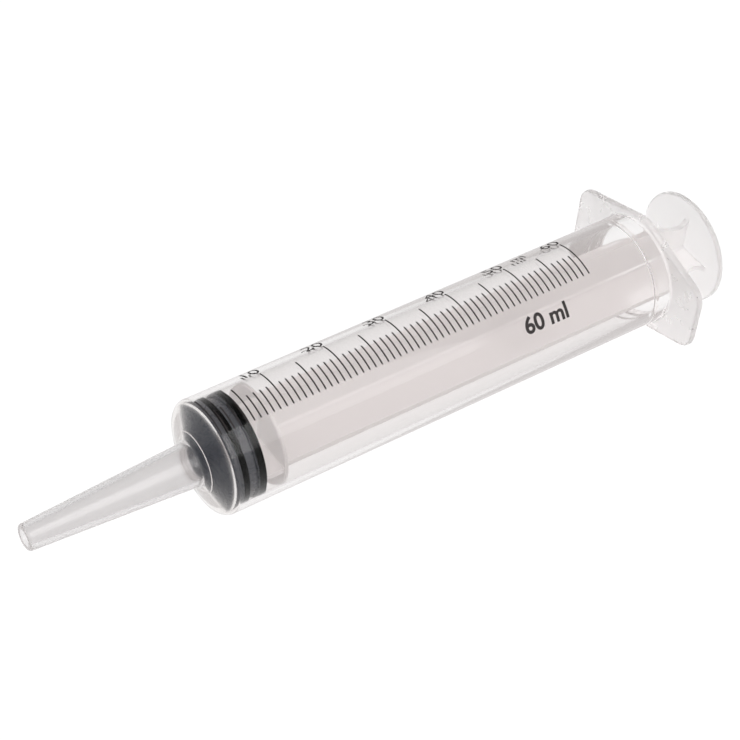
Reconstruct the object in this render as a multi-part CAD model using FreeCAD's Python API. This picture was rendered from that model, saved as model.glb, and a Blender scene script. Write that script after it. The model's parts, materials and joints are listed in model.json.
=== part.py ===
import FreeCAD, Part
import math
import os

# Catheter tip syringe of 60 ml, plunger pushed home, lying on a table.
# Everything is first built along the syringe's own axis: X runs from the
# nozzle to the thumb rest and X = 0 is the zero mark of the printed scale.
# At the end the three pieces are laid down together.
# Millimetres throughout.

Vec = FreeCAD.Vector
ORIGIN = Vec(0, 0, 0)
AXIS = Vec(1, 0, 0)

# Barrel: one clear moulding with nozzle, front wall, tube and finger flange
capacity_ml = 60
bore_d = 26.7
wall = 1.35
after_scale = 21.9          # from the last mark to the flange
bore_front = 0.15           # the bore starts just after the zero mark
front_slope_deg = 16.7      # outside of the conical front wall
cone_slope_deg = 21.0       # inside of it, so the wall thickens to the rim
rim_wall = 1.9              # front wall at the rim of the bore
shoulder_r = 2.3
bore_corner = 0.6
face_step_d = 16.0          # fine ring on the front face
face_step_h = 0.25

# Nozzle: a long slow taper that a catheter's funnel is pushed onto
nozzle_len = 44.1
nozzle_base_d = 11.3
nozzle_tip_d = 6.7
nozzle_edge_r = 0.8
nozzle_root_r = 0.8
lumen_base_d = 9.0
lumen_tip_d = 4.5
lumen_land = 3.0            # straight mouth of the lumen

# Finger flange: a flat lozenge with cut ends, wider than it is deep
flange_t = 1.9
flange_wing = 9.5           # reach past the tube along the long axis
flange_lip = 1.4            # reach past the tube square to a slanted side
flange_slope_deg = 18.4     # slanted side against the long axis
flange_end_r = 5.0
flange_mid_r = 9.0
flange_edge_r = 0.6
flange_root_r = 0.7

# Stop bead and lead-in at the open end of the bore
bead_back = 4.1             # bead to flange front
bead_h = 0.35
bead_w = 1.6
bead_crown = 0.5
lead_in = 1.2
lead_in_h = 0.5

# Rubber stopper
stopper_gap = 0.3           # stopper cone to front wall with the plunger home
ring_gap = 0.05             # running clearance of the sealing rings
nose_d = 8.0
land_w = 1.4
land_drop = 0.45
ring_front_w = 1.8
groove_w = 2.4
groove_depth = 0.9
ring_rear_w = 2.2
ring_edge = 0.35

# Snap head of the rod and its seat in the stopper
head_d = 14.4
head_t = 1.8
head_cone = 1.8
head_nose_d = 8.0
stem_d = 9.2
lip_t = 2.0                 # rubber behind the head
head_gap = 0.08             # running clearance all round the head
seat_chamfer = 0.5

# Plunger rod: four ribs, a guide disc and a thumb rest
front_rib_len = 5.0
front_rib_drop = 1.05       # front ribs to the bore
guide_t = 1.0
guide_drop = 0.35           # guide disc to the bore
guide_edge = 0.25
rib_d = 22.4
rib_t = 1.5
rib_root_r = 0.9
rib_edge_r = 0.35
waist_len = 12.0            # ribs narrow over this length to the thumb rest
waist_d = 13.8
waist_start_r = 12.0
waist_end_r = 2.6
thumb_back = 13.9           # flange back to thumb rest
thumb_d = 30.0
thumb_t = 1.6
thumb_edge = 0.4

# Sizes that follow from those above
bore_r = bore_d / 2
outer_r = bore_r + wall
ml_pitch = 1000.0 / (math.pi * bore_r ** 2)
flange_x = capacity_ml * ml_pitch + after_scale
mouth_x = flange_x + flange_t
front_slope = math.tan(math.radians(front_slope_deg))
cone_slope = math.tan(math.radians(cone_slope_deg))


def inner_front_x(r):
    """Inside of the conical front wall at a radius."""
    return (r - bore_r) * cone_slope + bore_front


def outer_front_x(r):
    """Outside of the conical front wall at a radius."""
    return (r - bore_r) * front_slope + bore_front - rim_wall


nozzle_base_x = outer_front_x(nozzle_base_d / 2)
nozzle_tip_x = nozzle_base_x - nozzle_len

land_r = bore_r - land_drop
ring_r = bore_r - ring_gap
groove_r = bore_r - groove_depth
gap_shift = stopper_gap / math.cos(math.radians(cone_slope_deg))
land_x = inner_front_x(land_r) + gap_shift
nose_x = inner_front_x(nose_d / 2) + gap_shift
ring_front_x = land_x + land_w
groove_x = ring_front_x + ring_front_w
ring_rear_x = groove_x + groove_w
stopper_end_x = ring_rear_x + ring_rear_w

rod_x = stopper_end_x + head_gap
guide_x = rod_x + front_rib_len
guide_end_x = guide_x + guide_t
thumb_x = mouth_x + thumb_back
waist_x = thumb_x - waist_len
thumb_r = thumb_d / 2


def corner(previous, here, following):
    """Tangent points and middle of the round at one corner of an outline."""
    u, v, radius = here
    to_previous = Vec(previous[0] - u, previous[1] - v, 0).normalize()
    to_following = Vec(following[0] - u, following[1] - v, 0).normalize()
    half = to_previous.getAngle(to_following) / 2
    reach = radius / math.tan(half)
    point = Vec(u, v, 0)
    inward = (to_previous + to_following).normalize()
    centre = point + inward * (radius / math.sin(half))
    return point + to_previous * reach, centre - inward * radius, point + to_following * reach


def outline(corners):
    """Flat face in XY from corners (u, v, radius), straight lines between rounds."""
    count = len(corners)
    edges = []
    ends = []
    for i, here in enumerate(corners):
        if here[2] == 0:
            point = Vec(here[0], here[1], 0)
            ends.append((point, point))
            continue
        start, middle, end = corner(corners[i - 1], here, corners[(i + 1) % count])
        ends.append((start, end))
        edges.append(Part.Arc(start, middle, end).toShape())
    for i in range(count):
        start = ends[i][1]
        end = ends[(i + 1) % count][0]
        if start.distanceToPoint(end) > 1e-6:
            edges.append(Part.LineSegment(start, end).toShape())
    return Part.Face(Part.Wire(Part.__sortEdges__(edges)))


def turned(corners):
    """Solid of revolution about the axis from corners (x, radius, round)."""
    return outline(corners).revolve(ORIGIN, AXIS, 360)


def plate(corners, x_from, x_to, turn_deg):
    """Outline set square to the axis, turned about it and given a thickness."""
    face = outline(corners)
    face.rotate(ORIGIN, Vec(1, 1, 1), 120)
    face.rotate(ORIGIN, AXIS, turn_deg)
    face.translate(AXIS * x_from)
    return face.extrude(AXIS * (x_to - x_from))


def one_solid(shape):
    """The single clean solid of a fused shape."""
    solid = shape.removeSplitter().Solids
    if len(solid) != 1:
        raise ValueError("expected one solid, got %d" % len(solid))
    return solid[0]


def flange_corners():
    """Lozenge with cut ends: long axis along the first coordinate."""
    slope = math.radians(flange_slope_deg)
    flat = outer_r + flange_lip
    half_len = outer_r + flange_wing
    middle = flat / math.cos(slope)
    end = middle - half_len * math.tan(slope)
    return [(half_len, -end, flange_end_r),
            (half_len, end, flange_end_r),
            (0, middle, flange_mid_r),
            (-half_len, end, flange_end_r),
            (-half_len, -end, flange_end_r),
            (0, -middle, flange_mid_r)]


def barrel():
    """Tube, front wall, nozzle and flange in one moulding."""
    step_r = face_step_d / 2
    step_x = outer_front_x(step_r)
    bead_x = flange_x - bead_back
    root_out = outer_r + flange_root_r + 0.05
    tube = turned([
        (nozzle_tip_x, lumen_tip_d / 2, 0),
        (nozzle_tip_x, nozzle_tip_d / 2, nozzle_edge_r),
        (nozzle_base_x - face_step_h, nozzle_base_d / 2, nozzle_root_r),
        (step_x - face_step_h, step_r, 0),
        (step_x, step_r, 0),
        (outer_front_x(outer_r), outer_r, shoulder_r),
        (flange_x, outer_r, flange_root_r),
        (flange_x, root_out, 0),
        (mouth_x, root_out, 0),
        (mouth_x, bore_r + lead_in_h, 0),
        (mouth_x - lead_in, bore_r, 0),
        (bead_x + bead_w / 2, bore_r, 0),
        (bead_x + bead_crown / 2, bore_r - bead_h, 0),
        (bead_x - bead_crown / 2, bore_r - bead_h, 0),
        (bead_x - bead_w / 2, bore_r, 0),
        (bore_front + bore_corner, bore_r, 0),
        (inner_front_x(bore_r - bore_corner), bore_r - bore_corner, 0),
        (inner_front_x(lumen_base_d / 2), lumen_base_d / 2, 0),
        (nozzle_tip_x + lumen_land, lumen_tip_d / 2, 0)])
    flange = plate(flange_corners(), flange_x, mouth_x, flange_slope_deg)
    rim = [e for e in flange.Edges if abs(e.BoundBox.XLength) < 1e-6]
    flange = flange.makeFillet(flange_edge_r, rim)
    hole = Part.makeCylinder(outer_r, flange_t + 2, AXIS * (flange_x - 1), AXIS)
    return one_solid(tube.fuse(flange.cut(hole)))


def stopper():
    """Rubber stopper: cone, two sealing rings and a seat for the snap head."""
    mouth_r = stem_d / 2 + head_gap
    seat_r = head_d / 2 + head_gap
    seat_back_x = stopper_end_x - lip_t
    seat_front_x = seat_back_x - head_t
    seat_nose_x = seat_front_x - head_cone
    body = turned([
        (nose_x, 0, 0),
        (nose_x, nose_d / 2, 0),
        (land_x, land_r, 0),
        (ring_front_x - ring_edge, land_r, 0),
        (ring_front_x, ring_r, 0),
        (groove_x - ring_edge, ring_r, 0),
        (groove_x, ring_r - ring_edge, 0),
        (groove_x, groove_r, 0),
        (ring_rear_x, groove_r, 0),
        (ring_rear_x, ring_r - ring_edge, 0),
        (ring_rear_x + ring_edge, ring_r, 0),
        (stopper_end_x - ring_edge, ring_r, 0),
        (stopper_end_x, ring_r - ring_edge, 0),
        (stopper_end_x, mouth_r + seat_chamfer, 0),
        (stopper_end_x - seat_chamfer, mouth_r, 0),
        (seat_back_x, mouth_r, 0),
        (seat_back_x, seat_r, 0),
        (seat_front_x, seat_r, 0),
        (seat_nose_x, head_nose_d / 2, 0),
        (seat_nose_x, 0, 0)])
    return one_solid(body)


def rib_corners():
    """Cross section of the four ribs, rounded where they meet."""
    reach = thumb_r
    half = rib_t / 2
    quarter = [(reach, -half, rib_edge_r), (reach, half, rib_edge_r), (half, half, rib_root_r)]
    corners = []
    for k in range(4):
        turn = math.pi / 2 * k
        for u, v, radius in quarter:
            corners.append((u * math.cos(turn) - v * math.sin(turn),
                            u * math.sin(turn) + v * math.cos(turn), radius))
    return corners


def plunger_rod():
    """Snap head, front ribs, guide disc, waisted ribs and thumb rest."""
    head_back_x = stopper_end_x - lip_t - head_gap
    head_front_x = stopper_end_x - lip_t - head_t + head_gap
    head_nose_x = head_front_x - head_cone
    front_rib_r = bore_r - front_rib_drop
    head = turned([
        (head_nose_x, 0, 0),
        (head_nose_x, head_nose_d / 2, 0),
        (head_front_x, head_d / 2, 0),
        (head_back_x, head_d / 2, 0),
        (head_back_x, stem_d / 2, 0),
        (rod_x + guide_t, stem_d / 2, 0),
        (rod_x + guide_t, 0, 0)])
    ribs = plate(rib_corners(), rod_x, thumb_x + thumb_t / 2, flange_slope_deg)
    edge = turned([
        (rod_x, 0, 0),
        (rod_x, front_rib_r, rib_edge_r),
        (guide_x + guide_t / 2, front_rib_r, 0),
        (guide_x + guide_t / 2, rib_d / 2, 0),
        (waist_x, rib_d / 2, waist_start_r),
        (thumb_x, waist_d / 2, waist_end_r),
        (thumb_x, thumb_r - thumb_edge, 0),
        (thumb_x + thumb_t / 2, thumb_r - thumb_edge, 0),
        (thumb_x + thumb_t / 2, 0, 0)])
    guide_r = bore_r - guide_drop
    guide = turned([
        (guide_x, 0, 0),
        (guide_x, guide_r - guide_edge, 0),
        (guide_x + guide_edge, guide_r, 0),
        (guide_end_x - guide_edge, guide_r, 0),
        (guide_end_x, guide_r - guide_edge, 0),
        (guide_end_x, 0, 0)])
    thumb = turned([
        (thumb_x, 0, 0),
        (thumb_x, thumb_r - thumb_edge, 0),
        (thumb_x + thumb_edge, thumb_r, 0),
        (thumb_x + thumb_t - thumb_edge, thumb_r, 0),
        (thumb_x + thumb_t, thumb_r - thumb_edge, 0),
        (thumb_x + thumb_t, 0, 0)])
    return one_solid(ribs.common(edge).fuse([head, guide, thumb]))


def tilt_on(front, rear):
    """Tilt of a straight edge that touches two rounds or points (x, depth, radius)."""
    along = rear[0] - front[0]
    down = rear[1] - front[1]
    return math.atan2(down, along) + math.asin((rear[2] - front[2]) / math.hypot(along, down))


def lay_down(pieces):
    """Rest the pieces on the table, nose down, and centre them over the origin."""
    turn = math.radians(90 - front_slope_deg)
    shoulder = (outer_front_x(outer_r) + shoulder_r * math.tan(turn / 2),
                outer_r - shoulder_r, shoulder_r)
    flange_foot = (flange_x + flange_edge_r, outer_r + flange_lip - flange_edge_r, flange_edge_r)
    thumb_foot = (thumb_x + thumb_edge, thumb_r, 0)
    tilt = max(tilt_on(shoulder, flange_foot), tilt_on(shoulder, thumb_foot))
    for shape in pieces.values():
        shape.rotate(ORIGIN, Vec(0, -1, 0), math.degrees(tilt))
    box = Part.makeCompound(list(pieces.values())).optimalBoundingBox(False)
    move = Vec(-(box.XMin + box.XMax) / 2, -(box.YMin + box.YMax) / 2, -box.ZMin)
    for shape in pieces.values():
        shape.translate(move)
    return tilt, move


parts = {"barrel": barrel(), "stopper": stopper(), "plunger_rod": plunger_rod()}
tilt, move = lay_down(parts)

os.makedirs("parts", exist_ok=True)
for name, shape in parts.items():
    shape.exportStep("parts/%s.step" % name)
    print("%s: %d solid, %d faces, %.0f mm3" % (name, len(shape.Solids), len(shape.Faces), shape.Volume))

print("tilt %.9f degrees, moved by %.6f %.6f %.6f" % (math.degrees(tilt), move.x, move.y, move.z))
print("travel to the stop bead %.2f mm" % (flange_x - bead_back - bead_w / 2 - stopper_end_x))
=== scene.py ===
# %% [markdown]
# A catheter tip syringe of 60 ml lies on a white table with its plunger pushed home. It has
# three moulded pieces: a clear barrel with nozzle and finger flange, a black rubber stopper,
# and a milky plunger rod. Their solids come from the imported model. What is added here is
# what a factory adds: the finish of each plastic, and the black ink of the printed scale.

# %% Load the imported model
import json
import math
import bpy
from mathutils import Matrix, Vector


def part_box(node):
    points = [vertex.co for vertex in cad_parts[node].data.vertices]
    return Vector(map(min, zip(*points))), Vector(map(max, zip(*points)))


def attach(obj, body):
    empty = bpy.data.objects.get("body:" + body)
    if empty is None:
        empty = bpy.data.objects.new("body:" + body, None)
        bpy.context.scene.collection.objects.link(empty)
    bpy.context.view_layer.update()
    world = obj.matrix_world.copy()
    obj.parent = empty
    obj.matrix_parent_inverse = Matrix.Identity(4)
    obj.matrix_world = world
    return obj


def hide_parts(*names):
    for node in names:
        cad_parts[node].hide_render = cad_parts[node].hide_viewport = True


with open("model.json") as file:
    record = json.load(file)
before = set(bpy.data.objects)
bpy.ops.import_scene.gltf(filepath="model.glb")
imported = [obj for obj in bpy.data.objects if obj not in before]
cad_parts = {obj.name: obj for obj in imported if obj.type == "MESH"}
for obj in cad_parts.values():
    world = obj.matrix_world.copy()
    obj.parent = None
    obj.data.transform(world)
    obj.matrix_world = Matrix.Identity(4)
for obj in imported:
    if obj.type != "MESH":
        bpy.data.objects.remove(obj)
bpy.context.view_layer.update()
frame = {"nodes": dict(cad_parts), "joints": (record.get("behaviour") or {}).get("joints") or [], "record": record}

# %% [markdown]
# The barrel rises a little towards the thumb rest, because its front shoulder and its flange
# both touch the table. It is easier to think along the syringe's own axis, so this cell
# reads that axis from the model: X runs along it, the origin is the zero mark, and all sizes are metres.
# What is built in that straight frame is laid down at the end with one matrix.

MM = 0.001
mounts = {m["name"]: m for m in frame["record"]["mounts"]}

bore_r = 13.35 * MM
capacity_ml = 60
ml_pitch = 1000 * MM / (math.pi * (bore_r / MM) ** 2)
after_scale = 21.9 * MM                 # last mark to flange

tube_r = mounts["barrel_body"]["dims"]["r_mm"] * MM
axis = Vector(frame["joints"][0]["axis"])
tilt = math.atan2(axis.z, axis.x)
tip = Vector(mounts["nozzle_taper"]["pos_m"])
tip_to_flange = (Vector(mounts["flange_front"]["pos_m"]) - tip).dot(axis)
zero_mark = tip + axis * (tip_to_flange - after_scale - capacity_ml * ml_pitch)
lay_down = Matrix.Translation(zero_mark) @ Matrix.Rotation(-tilt, 4, "Y")
print("tilt %.3f deg, zero mark at %s, 1 ml is %.3f mm" % (
    math.degrees(tilt), [round(v, 5) for v in zero_mark], ml_pitch / MM))


# %% [markdown]
# Blender's operators act on whatever is selected, and the import leaves every node selected.
# Two small helpers keep the steps tidy: one clears the selection, and one makes a single
# object the active one before an operator or a modifier is used on it.

# %% Selection helpers
def deselect_all():
    """Nothing selected and nothing active."""
    if bpy.context.mode != "OBJECT":
        bpy.ops.object.mode_set(mode="OBJECT")
    bpy.ops.object.select_all(action="DESELECT")
    bpy.context.view_layer.objects.active = None


def take(piece):
    """Only this object selected, and active."""
    deselect_all()
    piece.select_set(True)
    bpy.context.view_layer.objects.active = piece


def apply_place(piece):
    """Location, turn and scale go into the mesh, and the object sits at the origin."""
    take(piece)
    bpy.ops.object.transform_apply(location=True, rotation=True, scale=True)


# %% [markdown]
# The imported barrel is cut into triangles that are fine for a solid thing, but in clear
# plastic each one acts as a small lens, and the nozzle would look cut from facets. So the
# barrel is turned again here from the same sizes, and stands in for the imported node. First
# come its sizes, along the syringe's own axis and in millimetres.

# %% Sizes of the barrel
flange_t = 1.9
flange_x = capacity_ml * ml_pitch / MM + after_scale / MM
mouth_x = flange_x + flange_t
tip_x = flange_x - tip_to_flange / MM
bore = bore_r / MM
outer = tube_r / MM
front_slope_deg = 16.7                  # outside of the conical front wall
cone_slope_deg = 21.0                   # inside of it
front_slope = math.tan(math.radians(front_slope_deg))
cone_slope = math.tan(math.radians(cone_slope_deg))
bore_front = 0.15
rim_wall = 1.9
nozzle_tip_r = 3.35
nozzle_base_r = 5.65
lumen_tip_r = mounts["nozzle_lumen"]["dims"]["r_mm"]
lumen_base_r = 4.5
lumen_land = mounts["nozzle_lumen"]["dims"]["length_mm"]
step_r = 8.0
step_h = 0.25
lead_in, lead_in_h = 1.2, 0.5           # widening of the bore at its open end
bead_x = flange_x - 4.1
bead_h, bead_foot, bead_crown = 0.35, 0.8, 0.25
rim_r = 20.0                            # the flange is first a round disc
rim_edge = 0.6
nozzle_round = 0.8
shoulder_round = 2.3
flange_root_round = 0.7
bore_corner_round = 0.6


def front_outside(r):
    """Outside of the conical front wall at a radius."""
    return (r - bore) * front_slope + bore_front - rim_wall


def front_inside(r):
    """Inside of it."""
    return (r - bore) * cone_slope + bore_front


barrel_corners = [                      # along the axis, out from it, and the round
    (tip_x, lumen_tip_r, 0.15),
    (tip_x, nozzle_tip_r, nozzle_round),
    (front_outside(nozzle_base_r) - step_h, nozzle_base_r, nozzle_round),
    (front_outside(step_r) - step_h, step_r, 0.1),
    (front_outside(step_r), step_r, 0.1),
    (front_outside(outer), outer, shoulder_round),
    (flange_x, outer, flange_root_round),
    (flange_x, rim_r, rim_edge),
    (mouth_x, rim_r, rim_edge),
    (mouth_x, bore + lead_in_h, 0.2),
    (mouth_x - lead_in, bore, 0.5),
    (bead_x + bead_foot, bore, 0.1),
    (bead_x + bead_crown, bore - bead_h, 0.2),
    (bead_x - bead_crown, bore - bead_h, 0.2),
    (bead_x - bead_foot, bore, 0.1),
    (bore_front, bore, bore_corner_round),
    (front_inside(lumen_base_r), lumen_base_r, 0.4),
    (tip_x + lumen_land, lumen_tip_r, 1.0)]
print("barrel from %.2f to %.2f mm along the axis" % (tip_x, mouth_x))


# %% [markdown]
# Each corner of the outline gets a round, given as the radius beside its place. The points
# of a round lie on a circle that touches both sides. The outline is then drawn as by hand:
# one vertex, extruded from point to point, with the last joined to the first.

# %% Outline with rounds
def rounded(corners, steps):
    """Points of a closed outline, each corner replaced by an arc of so many steps."""
    points = []
    for k, (u, v, radius) in enumerate(corners):
        here = Vector((u, v))
        back = (Vector(corners[k - 1][:2]) - here).normalized()
        ahead = (Vector(corners[(k + 1) % len(corners)][:2]) - here).normalized()
        half = back.angle(ahead) / 2
        middle = here + (back + ahead).normalized() * radius / math.sin(half)
        first = here + back * radius / math.tan(half) - middle
        last = here + ahead * radius / math.tan(half) - middle
        sweep = first.angle_signed(last)
        for step in range(steps + 1):
            points.append(middle + Matrix.Rotation(-sweep * step / steps, 2) @ first)
    return points


def drawn(name, points):
    """Mesh of one closed line through points given along the axis and outwards, in mm."""
    deselect_all()
    start = Vector((points[0].x, points[0].y, 0)) * MM
    bpy.ops.mesh.primitive_plane_add(size=MM, location=start)
    line = bpy.context.object
    line.name = name
    apply_place(line)
    bpy.ops.object.mode_set(mode="EDIT")
    bpy.ops.mesh.select_all(action="SELECT")
    bpy.ops.mesh.merge(type="CENTER")
    for here, following in zip(points, points[1:]):
        move = Vector((following.x - here.x, following.y - here.y, 0)) * MM
        bpy.ops.mesh.extrude_region_move(TRANSFORM_OT_translate={"value": move})
    bpy.ops.mesh.select_mode(type="VERT")
    bpy.ops.mesh.select_all(action="DESELECT")
    bpy.ops.object.mode_set(mode="OBJECT")
    for end in (0, len(points) - 1):
        line.data.vertices[end].select = True
    bpy.ops.object.mode_set(mode="EDIT")
    bpy.ops.mesh.edge_face_add()
    bpy.ops.object.mode_set(mode="OBJECT")
    return line


clear_barrel = drawn("clear_barrel", rounded(barrel_corners, 6))
print("outline:", len(clear_barrel.data.vertices), "points,", len(clear_barrel.data.edges), "edges")

# %% [markdown]
# Spin carries the outline once round the axis. The flange is a round disc at this point.

# %% Turn the barrel
turn_steps = 288
take(clear_barrel)
bpy.ops.object.mode_set(mode="EDIT")
bpy.ops.mesh.select_all(action="SELECT")
bpy.ops.mesh.spin(steps=turn_steps, angle=2 * math.pi, center=(0, 0, 0), axis=(1, 0, 0))
bpy.ops.mesh.select_all(action="SELECT")
bpy.ops.mesh.remove_doubles(threshold=MM / 1000)
bpy.ops.mesh.normals_make_consistent(inside=False)
bpy.ops.object.mode_set(mode="OBJECT")
print("turned:", len(clear_barrel.data.vertices), "vertices,", len(clear_barrel.data.polygons), "faces")


# %% [markdown]
# The flange is a lozenge with cut ends, turned against the table. Its outline is a hexagon
# with rounds. Every point of the disc's rim moves along its own spoke until it lies on that
# hexagon, and the rounded edge of the disc comes along.

# %% Push the rim to the lozenge
flange_turn = math.radians(18.4)
flange_lip = 1.4                        # past the tube, square to a slanted side
flange_wing = 9.5                       # past the tube, along the long axis
end_round = 5.0
middle_round = 9.0
flange_side = outer + flange_lip
flange_reach = outer + flange_wing
flange_top = flange_side / math.cos(flange_turn)
flange_end = flange_top - flange_reach * math.tan(flange_turn)
lozenge = rounded([
    (flange_reach, -flange_end, end_round),
    (flange_reach, flange_end, end_round),
    (0, flange_top, middle_round),
    (-flange_reach, flange_end, end_round),
    (-flange_reach, -flange_end, end_round),
    (0, -flange_top, middle_round)], 12)


def lozenge_reach(angle):
    """Distance from the axis to the lozenge's edge in a direction."""
    way = Vector((math.cos(angle), math.sin(angle)))
    for k, here in enumerate(lozenge):
        back = lozenge[k - 1]
        side = here - back
        facing = way.x * side.y - way.y * side.x
        if abs(facing) < 1e-9:
            continue
        share = (back.y * way.x - back.x * way.y) / -facing
        reach = (back.x * side.y - back.y * side.x) / facing
        if -1e-6 <= share <= 1 + 1e-6 and reach > 0:
            return reach
    raise ValueError("no edge at angle %.3f" % angle)


moved = 0
for vertex in clear_barrel.data.vertices:
    radius = math.hypot(vertex.co.y, vertex.co.z) / MM
    if vertex.co.x / MM > flange_x - 0.1 and radius > outer + 1.0:
        angle = math.atan2(vertex.co.z, vertex.co.y)
        target = lozenge_reach(angle - flange_turn) - (rim_r - radius)
        vertex.co.y = target * math.cos(angle) * MM
        vertex.co.z = target * math.sin(angle) * MM
        moved += 1
print("rim points moved:", moved)
clear_barrel.matrix_world = lay_down
apply_place(clear_barrel)
bpy.ops.object.shade_smooth_by_angle(angle=math.radians(30))
volume = 0.0
for face in clear_barrel.data.polygons:
    volume += face.center.dot(face.normal) * face.area / 3
print("clear barrel holds %.0f mm3 of plastic" % (volume / MM ** 3))
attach(clear_barrel, "barrel")
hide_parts("barrel")
packed_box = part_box("barrel")
new_top = max(vertex.co.z for vertex in clear_barrel.data.vertices)
print("top of the packed barrel %.5f, of this one %.5f" % (packed_box[1].z, new_top))


# %% [markdown]
# A scale mark is ink, just under 0.4 mm wide, screen printed round the tube. It could be painted in
# the barrel's material, but then it would be seen at the back of the wall too, and its
# edges would blur. So each mark is a sliver of real ink. Its small cross section is a
# plane that stands on the tube, and Spin carries it round the axis. Every mark starts at
# the same lower edge. The marks at 5 ml reach further up, and those at 10 ml further still.

# %% One scale mark
line_w = 0.38 * MM
ink_t = 0.025 * MM
arc_step = math.radians(1.2)
mark_foot = math.radians(132.5)
mark_ends = {"short": math.radians(105.8), "medium": math.radians(90.6), "long": math.radians(83.7)}


def ink_arc(name, x, start, end, width):
    """Curved line of ink round the tube at x, from one angle to a lower one."""
    deselect_all()
    mid_r = tube_r + ink_t / 2
    place = (x, mid_r * math.cos(start), mid_r * math.sin(start))
    bpy.ops.mesh.primitive_plane_add(size=1, location=place, rotation=(start, 0, 0))
    mark = bpy.context.object
    mark.name = name
    mark.scale = (width, ink_t, 1)
    apply_place(mark)
    bpy.ops.object.mode_set(mode="EDIT")
    bpy.ops.mesh.select_all(action="SELECT")
    steps = max(2, round((start - end) / arc_step))
    bpy.ops.mesh.spin(steps=steps, angle=start - end, center=(0, 0, 0), axis=(1, 0, 0))
    bpy.ops.mesh.select_all(action="SELECT")
    bpy.ops.mesh.remove_doubles(threshold=ink_t / 20)
    bpy.ops.mesh.normals_make_consistent(inside=False)
    bpy.ops.object.mode_set(mode="OBJECT")
    return mark


patterns = {}
for kind, end in mark_ends.items():
    patterns[kind] = ink_arc("mark_" + kind, 0, mark_foot, end, line_w)
    corners = [v.co for v in patterns[kind].data.vertices]
    angles = [math.degrees(math.atan2(c.z, c.y)) for c in corners]
    print(kind, "mark from %.1f to %.1f degrees" % (max(angles), min(angles)))


# %% [markdown]
# The scale repeats: a short mark for each millilitre, a medium one for every fifth and a
# long one for every tenth. Each is a copy of its pattern with a mesh of its own, moved along
# the axis by its volume. Then the sixty-one marks are joined, because one print run lays
# them down together.

# %% The whole scale
def kind_of_mark(ml):
    """Name of the pattern that a volume gets."""
    if ml % 10 == 0:
        return "long"
    if ml % 5 == 0:
        return "medium"
    return "short"


def join_pieces(pieces, name):
    """Several objects made one."""
    deselect_all()
    for piece in pieces:
        piece.select_set(True)
    bpy.context.view_layer.objects.active = pieces[0]
    bpy.ops.object.join()
    joined = bpy.context.object
    joined.name = name
    joined.data.name = name
    return joined


marks = []
for ml in range(capacity_ml + 1):
    mark = patterns[kind_of_mark(ml)].copy()
    mark.data = mark.data.copy()
    bpy.context.scene.collection.objects.link(mark)
    mark.location.x = ml * ml_pitch
    apply_place(mark)
    marks.append(mark)
for pattern in patterns.values():
    bpy.data.objects.remove(pattern)
scale = join_pieces(marks, "printed_scale")
print("scale with", len(marks), "marks,", len(scale.data.polygons), "faces")

# %% [markdown]
# The figures are printed round the same tube. A flat text object becomes a mesh, is cut
# into narrow rows with Bisect so that it can bend, and is laid on the tube with a Shrinkwrap
# modifier that projects it onto a smooth guide cylinder. Solidify then gives the ink its
# thickness. Writing reads from the nozzle to the flange, with its top towards the far side.

# %% A guide tube for the figures
guide_sides = 720
deselect_all()
bpy.ops.mesh.primitive_cylinder_add(
    vertices=guide_sides, radius=tube_r, depth=0.3, location=(0.06, 0, 0), rotation=(0, math.pi / 2, 0))
guide = bpy.context.object
guide.name = "guide_tube"
apply_place(guide)


# %% Printing on the tube
row_h = 0.5 * MM
cap_share = 0.729                       # height of a capital in Blender's own font
lift = 1.0 * MM


def printed(body, cap_h, x, angle, align, bold=0.0):
    """Writing wrapped on the tube, its middle height at an angle round the axis."""
    deselect_all()
    bpy.ops.object.text_add(location=(0, 0, 0))
    writing = bpy.context.object
    writing.data.body = body
    writing.data.size = cap_h / cap_share
    writing.data.align_x = align
    writing.data.offset = bold
    writing.data.resolution_u = 6
    bpy.ops.object.convert(target="MESH")
    writing = bpy.context.object
    writing.location = (0, -cap_h / 2, 0)
    apply_place(writing)
    bpy.ops.object.mode_set(mode="EDIT")
    rows = math.ceil(cap_h / row_h) + 2
    for k in range(rows + 1):
        bpy.ops.mesh.select_all(action="SELECT")
        height = (k - rows / 2) * row_h
        bpy.ops.mesh.bisect(plane_co=(0, height, 0), plane_no=(0, 1, 0))
    bpy.ops.object.mode_set(mode="OBJECT")
    writing.location = (x, (tube_r + lift) * math.cos(angle), (tube_r + lift) * math.sin(angle))
    writing.rotation_euler = (angle - math.pi / 2, 0, 0)
    wrap = writing.modifiers.new("wrap", "SHRINKWRAP")
    wrap.target = guide
    wrap.wrap_method = "PROJECT"
    wrap.use_project_z = True
    wrap.use_negative_direction = True
    wrap.use_positive_direction = False
    thick = writing.modifiers.new("ink", "SOLIDIFY")
    thick.thickness = ink_t
    thick.offset = 1
    take(writing)
    bpy.ops.object.modifier_apply(modifier=wrap.name)
    bpy.ops.object.modifier_apply(modifier=thick.name)
    apply_place(writing)
    return writing


# %% [markdown]
# The numbers stand past the ends of the long marks, each with its last digit over its own
# line, and a small "ml" stands before the sixty. The capacity is written larger on the side
# of the barrel, where a maker would put a name: here it is only the plain volume.

# %% Numbers and capacity
number_h = 4.0 * MM
number_angle = math.radians(73.5)
number_end = 1.0 * MM                   # right edge of a number past its mark
figures = []
for ml in range(10, capacity_ml + 1, 10):
    x = ml * ml_pitch + number_end
    figures.append(printed(str(ml), number_h, x, number_angle, "RIGHT"))
unit_gap = 9.5 * MM
x = capacity_ml * ml_pitch - unit_gap
figures.append(printed("ml", number_h * 0.8, x, number_angle, "RIGHT"))
numbers = join_pieces(figures, "printed_numbers")

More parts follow.
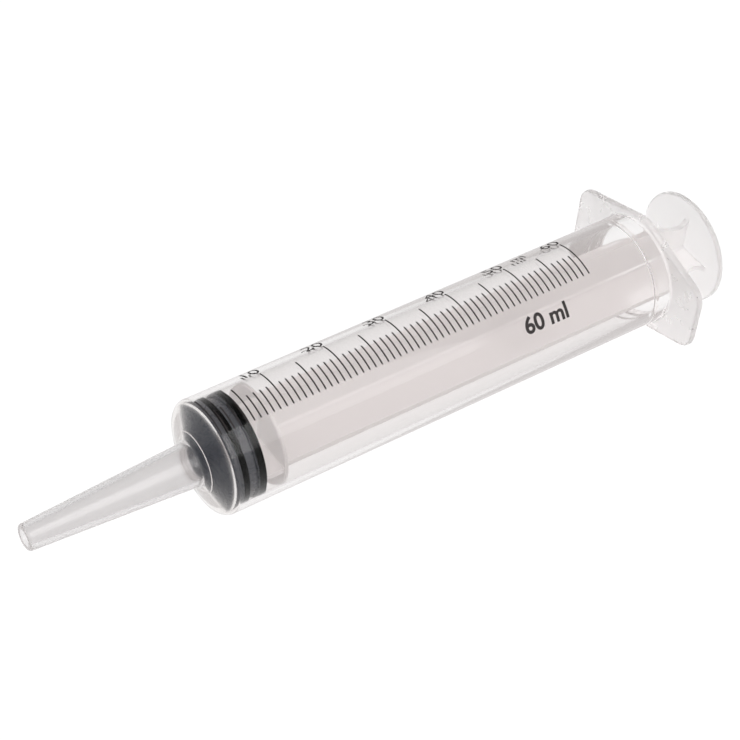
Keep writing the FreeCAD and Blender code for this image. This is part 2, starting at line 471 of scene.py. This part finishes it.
capacity_h = 4.3 * MM
capacity_x = 84.0 * MM
capacity_angle = math.radians(154.5)
bold_offset = 0.16 * MM
capacity = printed("%d ml" % capacity_ml, capacity_h, capacity_x, capacity_angle, "LEFT", bold_offset)
capacity.name = "printed_capacity"
bpy.data.objects.remove(guide)

for piece in (scale, numbers, capacity):
    piece.matrix_world = lay_down
    apply_place(piece)
    take(piece)
    bpy.ops.object.shade_smooth_by_angle(angle=math.radians(40))
    low = [min(v.co[i] for v in piece.data.vertices) for i in range(3)]
    high = [max(v.co[i] for v in piece.data.vertices) for i in range(3)]
    print(piece.name, [round(v, 4) for v in low], [round(v, 4) for v in high])


# %% [markdown]
# Every material here reads places along the syringe's axis. This helper turns Object
# coordinates into millimetres in the straight frame: a Mapping node of type Texture undoes
# the lay-down. The others add a node that is needed often and hand back its result.

# %% Material helpers
def new_material(name):
    """Node material with its Principled shader and output."""
    material = bpy.data.materials.new(name)
    material.use_nodes = True
    nodes = material.node_tree.nodes
    nodes.clear()
    output = nodes.new("ShaderNodeOutputMaterial")
    shader = nodes.new("ShaderNodeBsdfPrincipled")
    material.node_tree.links.new(shader.outputs["BSDF"], output.inputs["Surface"])
    return material, shader, output


def straight_place(tree):
    """Coordinates in millimetres along and across the syringe."""
    place = tree.nodes.new("ShaderNodeTexCoord")
    mapping = tree.nodes.new("ShaderNodeMapping")
    mapping.vector_type = "TEXTURE"
    mapping.inputs["Location"].default_value = zero_mark
    mapping.inputs["Rotation"].default_value = (0, -tilt, 0)
    mapping.inputs["Scale"].default_value = (MM, MM, MM)
    tree.links.new(place.outputs["Object"], mapping.inputs["Vector"])
    return mapping.outputs["Vector"]


def fill(tree, socket, value):
    """A socket gets a link when the value is another socket, and a fixed value otherwise."""
    if isinstance(value, (int, float, tuple)):
        socket.default_value = value
    else:
        tree.links.new(value, socket)


def calculated(tree, operation, first, second, clamp=False):
    """Result of one Math node."""
    node = tree.nodes.new("ShaderNodeMath")
    node.operation = operation
    node.use_clamp = clamp
    fill(tree, node.inputs[0], first)
    fill(tree, node.inputs[1], second)
    return node.outputs["Value"]


def mixed_colours(tree, share, first, second):
    """Two colours mixed by a share."""
    mix = tree.nodes.new("ShaderNodeMix")
    mix.data_type = "RGBA"
    fill(tree, mix.inputs["Factor"], share)
    fill(tree, mix.inputs["A"], first)
    fill(tree, mix.inputs["B"], second)
    return mix.outputs["Result"]


def mixed_shaders(tree, share, first, second):
    """Two shaders mixed by a share."""
    mix = tree.nodes.new("ShaderNodeMixShader")
    fill(tree, mix.inputs["Fac"], share)
    fill(tree, mix.inputs[1], first)
    fill(tree, mix.inputs[2], second)
    return mix.outputs["Shader"]


# %% [markdown]
# Moulded plastic is never perfectly even. The melt leaves faint streaks along the flow, the
# surface haze changes from place to place, and the skin has a very shallow ripple. This
# group makes all three from noise, with the amounts as inputs, and both plastics use it.

# %% Shared group: moulded skin
def group_socket(group, name, direction, kind, value=None):
    """One named socket on a node group."""
    socket = group.interface.new_socket(name=name, in_out=direction, socket_type=kind)
    if value is not None:
        socket.default_value = value
    return socket


def scaled_noise(tree, place, stretch, detail=3.0):
    """Noise over a place that is stretched along the axis."""
    mapping = tree.nodes.new("ShaderNodeMapping")
    mapping.inputs["Scale"].default_value = stretch
    noise = tree.nodes.new("ShaderNodeTexNoise")
    noise.inputs["Scale"].default_value = 1.0
    noise.inputs["Detail"].default_value = detail
    tree.links.new(place, mapping.inputs["Vector"])
    tree.links.new(mapping.outputs["Vector"], noise.inputs["Vector"])
    return noise.outputs["Fac"]


def remap(tree, value, low, high, start=0.3, stop=0.7):
    """A value between start and stop, where most noise lies, spread from low to high."""
    spread = tree.nodes.new("ShaderNodeMapRange")
    ends = {"Value": value, "From Min": start, "From Max": stop, "To Min": low, "To Max": high}
    for name, end in ends.items():
        fill(tree, spread.inputs[name], end)
    return spread.outputs["Result"]


skin = bpy.data.node_groups.new("moulded_skin", "ShaderNodeTree")
group_socket(skin, "Place", "INPUT", "NodeSocketVector")
group_socket(skin, "Smoothest", "INPUT", "NodeSocketFloat", 0.03)
group_socket(skin, "Haziest", "INPUT", "NodeSocketFloat", 0.1)
group_socket(skin, "Clear", "INPUT", "NodeSocketColor", (1, 1, 1, 1))
group_socket(skin, "Streak", "INPUT", "NodeSocketColor", (0.9, 0.9, 0.9, 1))
group_socket(skin, "Ripple", "INPUT", "NodeSocketFloat", 0.1)
group_socket(skin, "Color", "OUTPUT", "NodeSocketColor")
group_socket(skin, "Roughness", "OUTPUT", "NodeSocketFloat")
group_socket(skin, "Normal", "OUTPUT", "NodeSocketVector")
skin_in = skin.nodes.new("NodeGroupInput")
skin_out = skin.nodes.new("NodeGroupOutput")
streaks = scaled_noise(skin, skin_in.outputs["Place"], (0.05, 0.35, 0.35))
skin.links.new(
    mixed_colours(skin, streaks, skin_in.outputs["Clear"], skin_in.outputs["Streak"]),
    skin_out.inputs["Color"])
haze = scaled_noise(skin, skin_in.outputs["Place"], (0.12, 0.3, 0.3), 5.0)
skin.links.new(
    remap(skin, haze, skin_in.outputs["Smoothest"], skin_in.outputs["Haziest"]),
    skin_out.inputs["Roughness"])
ripple = scaled_noise(skin, skin_in.outputs["Place"], (0.03, 0.12, 0.12), 1.0)
bump = skin.nodes.new("ShaderNodeBump")
bump.inputs["Distance"].default_value = MM
skin.links.new(skin_in.outputs["Ripple"], bump.inputs["Strength"])
skin.links.new(ripple, bump.inputs["Height"])
skin.links.new(bump.outputs["Normal"], skin_out.inputs["Normal"])


def add_skin(material, shader, smoothest, haziest, clear, streak, ripple_depth):
    """The shared skin feeding a plastic's shader."""
    tree = material.node_tree
    node = tree.nodes.new("ShaderNodeGroup")
    node.node_tree = skin
    tree.links.new(straight_place(tree), node.inputs["Place"])
    node.inputs["Smoothest"].default_value = smoothest
    node.inputs["Haziest"].default_value = haziest
    node.inputs["Clear"].default_value = clear
    node.inputs["Streak"].default_value = streak
    node.inputs["Ripple"].default_value = ripple_depth
    tree.links.new(node.outputs["Color"], shader.inputs["Base Color"])
    tree.links.new(node.outputs["Roughness"], shader.inputs["Roughness"])
    tree.links.new(node.outputs["Normal"], shader.inputs["Normal"])


# %% [markdown]
# Two things about light in plastic are set by hand. Lamps shine through with a tint, so that
# the shadow on the table is light. And a ray that has passed more than a few surfaces comes
# out pale: it stands for light that the haze of the real plastic scatters in the wall, and
# without it the edges look black, as they do in plain glass.

# %% Light through plastic
trapped_after = 3                       # surfaces passed before light counts as trapped
pale_light = (0.62, 0.59, 0.583, 1)
plastic_ior = 1.49
ripple_depth = 0.01


def let_light_through(material, shader, output, tint_colour):
    """Tinted shadows, and pale light where a ray is trapped, except for scattered rays."""
    tree = material.node_tree
    path = tree.nodes.new("ShaderNodeLightPath")
    deep = calculated(tree, "GREATER_THAN", path.outputs["Ray Depth"], trapped_after)
    share = calculated(tree, "SUBTRACT", deep, path.outputs["Is Diffuse Ray"], clamp=True)
    pale = tree.nodes.new("ShaderNodeEmission")
    pale.inputs["Color"].default_value = pale_light
    seen = mixed_shaders(tree, share, shader.outputs["BSDF"], pale.outputs["Emission"])
    clear = tree.nodes.new("ShaderNodeBsdfTransparent")
    clear.inputs["Color"].default_value = tint_colour
    mix = mixed_shaders(tree, path.outputs["Is Shadow Ray"], seen, clear.outputs["BSDF"])
    tree.links.new(mix, output.inputs["Surface"])


# %% [markdown]
# The barrel is clear polypropylene. It is not as bright as glass: light loses a few percent
# at each wall and comes out faintly warm grey. A Principled shader with full transmission and
# the plastic's index of 1.49 bends light as the real wall does. The solid has a true wall
# thickness, so both faces of the wall refract. One moulding shows five finishes:
#
# - the tube is polished and clear,
# - its bore carries a film of silicone oil, so that face mirrors far less,
# - the front wall is a little hazy,
# - the nozzle is hazier and scatters some light back,
# - the flange is matt and milky.
#
# The last number of each finish is how much it mirrors when seen square on.

# %% Barrel: clear polypropylene
def barrel_plastic(name, through, haze, tint, mirror):
    """Polypropylene that lets a share through. Haze and tint are pairs of extremes."""
    material, shader, output = new_material(name)
    shader.inputs["Transmission Weight"].default_value = through
    shader.inputs["IOR"].default_value = plastic_ior
    tree = material.node_tree
    grazing = tree.nodes.new("ShaderNodeFresnel")
    grazing.inputs["IOR"].default_value = plastic_ior
    mirrored = remap(tree, grazing.outputs["Fac"], mirror, 1.0, 0.3, 0.8)
    tree.links.new(mirrored, shader.inputs["Specular Tint"])
    add_skin(material, shader, *haze, *tint, ripple_depth)
    let_light_through(material, shader, output, barrel_shadow)
    return material


barrel_shadow = (0.94, 0.92, 0.92, 1)
tube_tint = (0.895, 0.88, 0.877, 1), (0.88, 0.865, 0.862, 1)
wall_tint = (0.87, 0.845, 0.83, 1), (0.85, 0.825, 0.81, 1)
nozzle_tint = (0.80, 0.788, 0.788, 1), (0.78, 0.768, 0.768, 1)
barrel_finishes = [
    barrel_plastic("clear_polypropylene", 1.0, (0.03, 0.05), tube_tint, 0.25),
    barrel_plastic("oiled_polypropylene", 1.0, (0.04, 0.07), tube_tint, 0.1),
    barrel_plastic("hazy_polypropylene", 1.0, (0.08, 0.12), wall_tint, 0.3),
    barrel_plastic("nozzle_polypropylene", 0.96, (0.14, 0.20), nozzle_tint, 0.3),
    barrel_plastic("milky_flange", 0.75, (0.25, 0.35), tube_tint, 0.6)]

# %% [markdown]
# The rod is the same plastic without the clarifier, so it is milky: part of the light goes
# through, part is scattered. A transmission weight below one mixes the two, and a higher
# roughness blurs what is seen through the ribs.

# %% Plunger rod: milky polypropylene
milky_plastic, shader, output = new_material("milky_polypropylene")
shader.inputs["Transmission Weight"].default_value = 0.8
shader.inputs["IOR"].default_value = plastic_ior
rod_tint = (0.935, 0.923, 0.92, 1), (0.92, 0.908, 0.905, 1)
rod_shadow = (0.95, 0.94, 0.94, 1)
add_skin(milky_plastic, shader, 0.3, 0.38, *rod_tint, ripple_depth)
let_light_through(milky_plastic, shader, output, rod_shadow)

# %% [markdown]
# The stopper is black rubber with a film of silicone oil. Where its two sealing rings press
# on the bore there is no air between rubber and wall, so they look deep black, while the
# groove between them and the conical nose look dark blue-grey. The nose lies behind the hazy
# front wall and mirrors less, and its colour is painted darker than the rest of the rubber:
# that is painted shade for the dimmer light behind the wall. So the rubber gets three
# materials, and the faces of the rings and of the nose are picked out later by their place
# along the axis.

# %% Stopper: oiled black rubber
stopper_end = (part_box("stopper")[1].x - zero_mark.x) / MM
ring_rear_w = 2.2
groove_w = 2.4
ring_front_w = 1.8
land_w = 1.5                            # land between nose and front ring, with some slack
print("stopper ends %.2f mm after the zero mark" % stopper_end)


def rubber_material(name, colour, thin_colour, gloss):
    """Rubber with an uneven film of oil. The gloss is how much the surface mirrors."""
    rubber, shader, output = new_material(name)
    tree = rubber.node_tree
    place = straight_place(tree)
    oil = scaled_noise(tree, place, (0.6, 0.6, 0.6), 4.0)
    film = mixed_colours(tree, oil, colour, thin_colour)
    tree.links.new(film, shader.inputs["Base Color"])
    tree.links.new(remap(tree, oil, 0.22, 0.36), shader.inputs["Roughness"])
    shader.inputs["Specular IOR Level"].default_value = gloss
    grain = scaled_noise(tree, place, (4.0, 4.0, 4.0), 2.0)
    bump = tree.nodes.new("ShaderNodeBump")
    bump.inputs["Strength"].default_value = 0.02
    bump.inputs["Distance"].default_value = MM
    tree.links.new(grain, bump.inputs["Height"])
    tree.links.new(bump.outputs["Normal"], shader.inputs["Normal"])
    return rubber


rubber = rubber_material("black_rubber", (0.045, 0.052, 0.062, 1), (0.032, 0.038, 0.048, 1), 1.0)
# The nose is the same rubber painted darker: painted shade for the dim light behind the front wall.
shaded_cone_rubber = rubber_material("shaded_cone_rubber", (0.024, 0.031, 0.045, 1), (0.017, 0.023, 0.034, 1), 0.3)
pressed = rubber_material("pressed_rubber", (0.001, 0.001, 0.001, 1), (0.002, 0.002, 0.002, 1), 0.0)

# %% [markdown]
# Screen ink is matt and near black, a touch warm, and it is a little thinner in places. Fine
# noise varies its colour and roughness, at the size of a screen's mesh.

# %% Printing ink
ink, shader, output = new_material("printing_ink")
tree = ink.node_tree
place = straight_place(tree)
thin = scaled_noise(tree, place, (5.0, 5.0, 5.0), 2.0)
ink_colour = mixed_colours(tree, thin, (0.012, 0.010, 0.010, 1), (0.035, 0.028, 0.028, 1))
tree.links.new(ink_colour, shader.inputs["Base Color"])
tree.links.new(remap(tree, thin, 0.45, 0.65), shader.inputs["Roughness"])
shader.inputs["Specular IOR Level"].default_value = 0.3

# %% [markdown]
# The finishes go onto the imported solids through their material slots, and the printed pieces
# ride on the barrel's body, so that the scale stays with the tube when the plunger moves.

# %% Dress the solids
nodes = frame["nodes"]
finishes = (
    (clear_barrel, barrel_finishes),
    (nodes["plunger_rod"], [milky_plastic]),
    (nodes["stopper"], [rubber, pressed, shaded_cone_rubber]))
OILED, FRONT_WALL, NOZZLE, FLANGE = 1, 2, 3, 4    # places in barrel_finishes
PRESSED, SHADED_CONE = 1, 2                    # places in the stopper's list
for piece, materials in finishes:
    mesh = piece.data
    mesh.materials.clear()
    for material in materials:
        mesh.materials.append(material)

straighten = lay_down.inverted()
for face in clear_barrel.data.polygons:
    centre = straighten @ face.center / MM
    radius = math.hypot(centre.y, centre.z)
    if centre.x > flange_x - 0.5:
        face.material_index = FLANGE
    elif centre.x < front_outside(nozzle_base_r):
        face.material_index = NOZZLE
    elif radius < bore + 0.1 and centre.x > front_inside(min(radius, bore)) - 0.2:
        face.material_index = OILED
    elif centre.x < 0.3:
        face.material_index = FRONT_WALL

ring_reach = bore_r - 0.4 * MM
rear_start = stopper_end - ring_rear_w
front_end = rear_start - groove_w
rings = ((front_end - ring_front_w, front_end), (rear_start, stopper_end))
pressed_faces = 0
for face in nodes["stopper"].data.polygons:
    centre = straighten @ face.center
    on_ring = any(start < centre.x / MM < end for start, end in rings)
    if on_ring and math.hypot(centre.y, centre.z) > ring_reach:
        face.material_index = PRESSED
        pressed_faces += 1
    # The nose faces take the darker rubber with the painted shade.
    elif centre.x / MM < rings[0][0] - land_w:
        face.material_index = SHADED_CONE
print("faces pressed on the bore:", pressed_faces)

for piece in (scale, numbers, capacity):
    piece.data.materials.clear()
    piece.data.materials.append(ink)
    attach(piece, "barrel")

# %% [markdown]
# The table is a plain white sheet. To the camera, and through the clear plastic, it shows as
# the white of the background, with only a light shadow. Mirrored in the plastic it is less
# bright. To all other light it is a matt surface, so it throws soft light up from below.

# %% Floor
floor_size = 6.0
deselect_all()
bpy.ops.mesh.primitive_plane_add(size=floor_size, location=(0, 0, 0))
floor = bpy.context.object
floor.name = "floor"
floor_material, shader, output = new_material("white_table")
tree = floor_material.node_tree
shader.inputs["Base Color"].default_value = (0.85, 0.85, 0.85, 1)
shader.inputs["Roughness"].default_value = 0.9
shader.inputs["Specular IOR Level"].default_value = 0.0
glow = tree.nodes.new("ShaderNodeEmission")
glow.inputs["Strength"].default_value = 1.1
glow_share = 0.9                        # the rest is the matt sheet, which takes the shadow
mirrored_share = 0.75
path = tree.nodes.new("ShaderNodeLightPath")
seen = calculated(
    tree, "MAXIMUM", path.outputs["Is Camera Ray"], path.outputs["Is Transmission Ray"])
mirrored = calculated(tree, "MULTIPLY", path.outputs["Is Glossy Ray"], mirrored_share)
share = calculated(tree, "MULTIPLY", calculated(tree, "MAXIMUM", seen, mirrored), glow_share)
floor_mix = mixed_shaders(tree, share, shader.outputs["BSDF"], glow.outputs["Emission"])
tree.links.new(floor_mix, output.inputs["Surface"])
floor.data.materials.append(floor_material)

# %% [markdown]
# The room is a white studio with a dark ceiling. The dark part matters: a black ring under
# a clear wall only looks black where the wall mirrors something dark. What is seen through
# the plastic keeps a bright background in every direction.

# %% World
world = bpy.data.worlds.new("studio")
bpy.context.scene.world = world
world.use_nodes = True
tree = world.node_tree
tree.nodes.clear()
output = tree.nodes.new("ShaderNodeOutputWorld")
background = tree.nodes.new("ShaderNodeBackground")
coordinate = tree.nodes.new("ShaderNodeTexCoord")
height = tree.nodes.new("ShaderNodeSeparateXYZ")
tree.links.new(coordinate.outputs["Generated"], height.inputs["Vector"])
ceiling_light = 0.12
through_light = 0.9
ceiling = remap(tree, height.outputs["Z"], 1.0, ceiling_light, 0.2, 0.4)
path = tree.nodes.new("ShaderNodeLightPath")
through = calculated(tree, "MULTIPLY", path.outputs["Is Transmission Ray"], through_light)
bright = calculated(tree, "MAXIMUM", ceiling, through)
tree.links.new(bright, background.inputs["Strength"])
background.inputs["Color"].default_value = (1, 1, 1, 1)
tree.links.new(background.outputs["Background"], output.inputs["Surface"])


# %% [markdown]
# Two soft boxes light the syringe. The first stands to the right of the camera and low enough
# to be mirrored as a window in the side of the stopper. The second is larger and fills in
# from the left and behind.

# %% Lamps
aim = Vector((0, 0, 0.015))


def soft_box(name, place, width, depth, radiance):
    """Area lamp turned to face the syringe. A radiance of 1 looks white."""
    deselect_all()
    place = Vector(place)
    turn = (aim - place).to_track_quat("-Z", "Y").to_euler()
    bpy.ops.object.light_add(type="AREA", location=place, rotation=turn)
    lamp = bpy.context.object
    lamp.name = name
    lamp.data.shape = "RECTANGLE"
    lamp.data.size = width
    lamp.data.size_y = depth
    lamp.data.energy = radiance * math.pi * width * depth
    lamp.visible_transmission = False
    return lamp


soft_box("window", (0.12, -0.715, 0.546), 0.45, 0.76, 6.0)
soft_box("fill", (-1.4, 0.5, 1.4), 1.4, 1.4, 2.5)

# %% [markdown]
# The camera stands where the photographer stood: found from the spacing of the marks and the
# two edges of the barrel. Its long lens flattens the view.

# %% Camera
camera_place = (-0.24414, -0.40878, 0.29654)
camera_turn = (59.549, 5.664, -33.915)
deselect_all()
bpy.ops.object.camera_add(location=camera_place, rotation=[math.radians(a) for a in camera_turn])
camera = bpy.context.object
camera.data.sensor_width = 36.0
camera.data.lens = 110.506
camera.data.clip_start = 0.01
bpy.context.scene.camera = camera
bpy.context.scene.view_settings.view_transform = "Standard"
